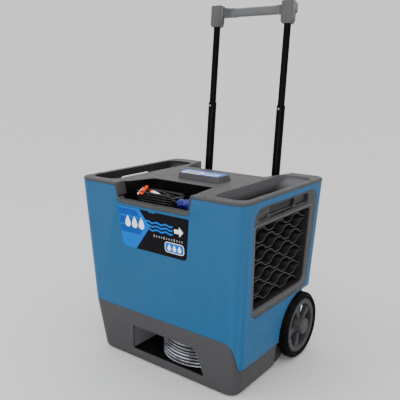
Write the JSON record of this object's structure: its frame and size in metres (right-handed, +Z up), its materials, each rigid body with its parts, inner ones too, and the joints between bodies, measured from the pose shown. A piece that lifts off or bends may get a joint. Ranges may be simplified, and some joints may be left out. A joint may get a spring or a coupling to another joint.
{
  "type": "commercial dehumidifier",
  "caption": "Wheeled dehumidifier: tapered two-tone moulded cabinet, telescoping pull handle, side air inlet grille, cord pocket in the top and drain hose bin in the base.",
  "frame": {"origin": "on the ground, under the middle of the machine's outline seen from above with the handle drawn out", "axes": "+Z up, +Y to the back where the wheels and the handle are, +X towards the air inlet grille; the front with the hose window faces -Y"},
  "size_m": [0.734, 0.6472, 1.3267],
  "materials": {
    "blue_shell": "fine-grained moulded polyethylene, blue",
    "grey_plastic": "fine-grained moulded plastic, dark grey",
    "grip_plastic": "smooth moulded plastic, mid grey",
    "black_plastic": "moulded plastic, black",
    "handle_tube": "satin black anodised",
    "wheel_rubber": "moulded rubber",
    "steel": "plain steel",
    "coil_fins": "thin metal fins, mostly air",
    "copper": "copper tube",
    "filter_mesh": "pleated air filter",
    "circuit_board": "green circuit board",
    "display_lens": "smoked clear window",
    "key_cap": "soft white key",
    "clear_hose": "clear vinyl",
    "cord_jacket": "black cord jacket",
    "blue_plug": "translucent blue moulding"
  },
  "bodies": {
    "cabinet": {"housing_shell": "blue_shell", "base_tray": "grey_plastic", "top_cover": "grey_plastic", "hose_bin": "grey_plastic", "inlet_bezel": "grey_plastic", "outlet_bezel": "grey_plastic", "outlet_guard": "steel", "control_pod": "grey_plastic", "display_lens": "display_lens", "control_board": "circuit_board", "guide_tube_left": "handle_tube", "guide_collar_left": "black_plastic", "axle_bracket_left": "steel", "guide_tube_right": "handle_tube", "guide_collar_right": "black_plastic", "axle_bracket_right": "steel", "axle": "steel", "equipment_plate": "steel", "evaporator_coil": "coil_fins", "heat_exchanger_core": "coil_fins", "condenser_coil": "coil_fins", "drip_tray": "black_plastic", "fan_shroud": "black_plastic", "fan_motor": "steel", "compressor": "black_plastic", "condensate_pump": "black_plastic", "refrigerant_line": "copper", "cord_gland": "black_plastic", "power_cord_coil": "cord_jacket", "power_cord_end": "cord_jacket", "cord_plug": "blue_plug", "drain_fitting": "black_plastic", "drain_hose_coil": "clear_hose", "drain_hose_end": "clear_hose"},
    "handle_middle": {"middle_tube_left": "handle_tube", "middle_tube_right": "handle_tube"},
    "handle_upper": {"upper_tube_left": "handle_tube", "upper_tube_right": "handle_tube", "grip_fitting_left": "grip_plastic", "grip_fitting_right": "grip_plastic", "crossbar": "grip_plastic"},
    "wheel_left": {"tyre_left": "wheel_rubber", "wheel_left": "grey_plastic", "hub_cap_left": "grey_plastic"},
    "wheel_right": {"tyre_right": "wheel_rubber", "wheel_right": "grey_plastic", "hub_cap_right": "grey_plastic"},
    "inlet_door": {"inlet_grille": "grey_plastic", "air_filter": "filter_mesh"},
    "fan": {"fan_impeller": "black_plastic"},
    "key_power": {"key_power": "key_cap"},
    "key_mode": {"key_mode": "key_cap"},
    "key_up": {"key_up": "key_cap"},
    "key_down": {"key_down": "key_cap"},
    "lower_button_left": {"lower_lock_button_left": "steel"},
    "lower_button_right": {"lower_lock_button_right": "steel"},
    "upper_button_left": {"upper_lock_button_left": "steel"},
    "upper_button_right": {"upper_lock_button_right": "steel"}
  },
  "joints": [
    {"name": "middle_slide", "type": "slide", "parent": "cabinet", "child": "handle_middle", "axis": [0, 0.0811, 0.9967], "range_m": [-0.33, 0]},
    {"name": "upper_slide", "type": "slide", "parent": "handle_middle", "child": "handle_upper", "axis": [0, 0.0811, 0.9967], "range_m": [-0.296, 0]},
    {"name": "wheel_left_spin", "type": "hinge", "parent": "cabinet", "child": "wheel_left", "pos_m": [-0.334, 0.1244, 0.127], "axis": [1, 0, 0], "continuous": true},
    {"name": "wheel_right_spin", "type": "hinge", "parent": "cabinet", "child": "wheel_right", "pos_m": [0.334, 0.1244, 0.127], "axis": [1, 0, 0], "continuous": true},
    {"name": "inlet_door_hinge", "type": "hinge", "parent": "cabinet", "child": "inlet_door", "pos_m": [0.3425, -0.0546, 0.306], "axis": [0, 1, 0], "range_deg": [0, 60]},
    {"name": "fan_spin", "type": "hinge", "parent": "cabinet", "child": "fan", "pos_m": [-0.247, -0.0566, 0.435], "axis": [1, 0, 0], "continuous": true},
    {"name": "key_power_press", "type": "slide", "parent": "cabinet", "child": "key_power", "axis": [0, 0, -1], "range_m": [0, 0.001], "stiffness_N_per_m": 600, "springref_m": -0.0006},
    {"name": "key_mode_press", "type": "slide", "parent": "cabinet", "child": "key_mode", "axis": [0, 0, -1], "range_m": [0, 0.001], "stiffness_N_per_m": 600, "springref_m": -0.0006},
    {"name": "key_up_press", "type": "slide", "parent": "cabinet", "child": "key_up", "axis": [0, 0, -1], "range_m": [0, 0.001], "stiffness_N_per_m": 600, "springref_m": -0.0006},
    {"name": "key_down_press", "type": "slide", "parent": "cabinet", "child": "key_down", "axis": [0, 0, -1], "range_m": [0, 0.001], "stiffness_N_per_m": 600, "springref_m": -0.0006},
    {"name": "lower_button_left_press", "type": "slide", "parent": "cabinet", "child": "lower_button_left", "axis": [0, 0.9967, -0.0811], "range_m": [0, 0.0015], "stiffness_N_per_m": 600, "springref_m": -0.0006},
    {"name": "lower_button_right_press", "type": "slide", "parent": "cabinet", "child": "lower_button_right", "axis": [0, 0.9967, -0.0811], "range_m": [0, 0.0015], "stiffness_N_per_m": 600, "springref_m": -0.0006},
    {"name": "upper_button_left_press", "type": "slide", "parent": "handle_middle", "child": "upper_button_left", "axis": [0, 0.9967, -0.0811], "range_m": [0, 0.0015], "stiffness_N_per_m": 600, "springref_m": -0.0006},
    {"name": "upper_button_right_press", "type": "slide", "parent": "handle_middle", "child": "upper_button_right", "axis": [0, 0.9967, -0.0811], "range_m": [0, 0.0015], "stiffness_N_per_m": 600, "springref_m": -0.0006}
  ]
}
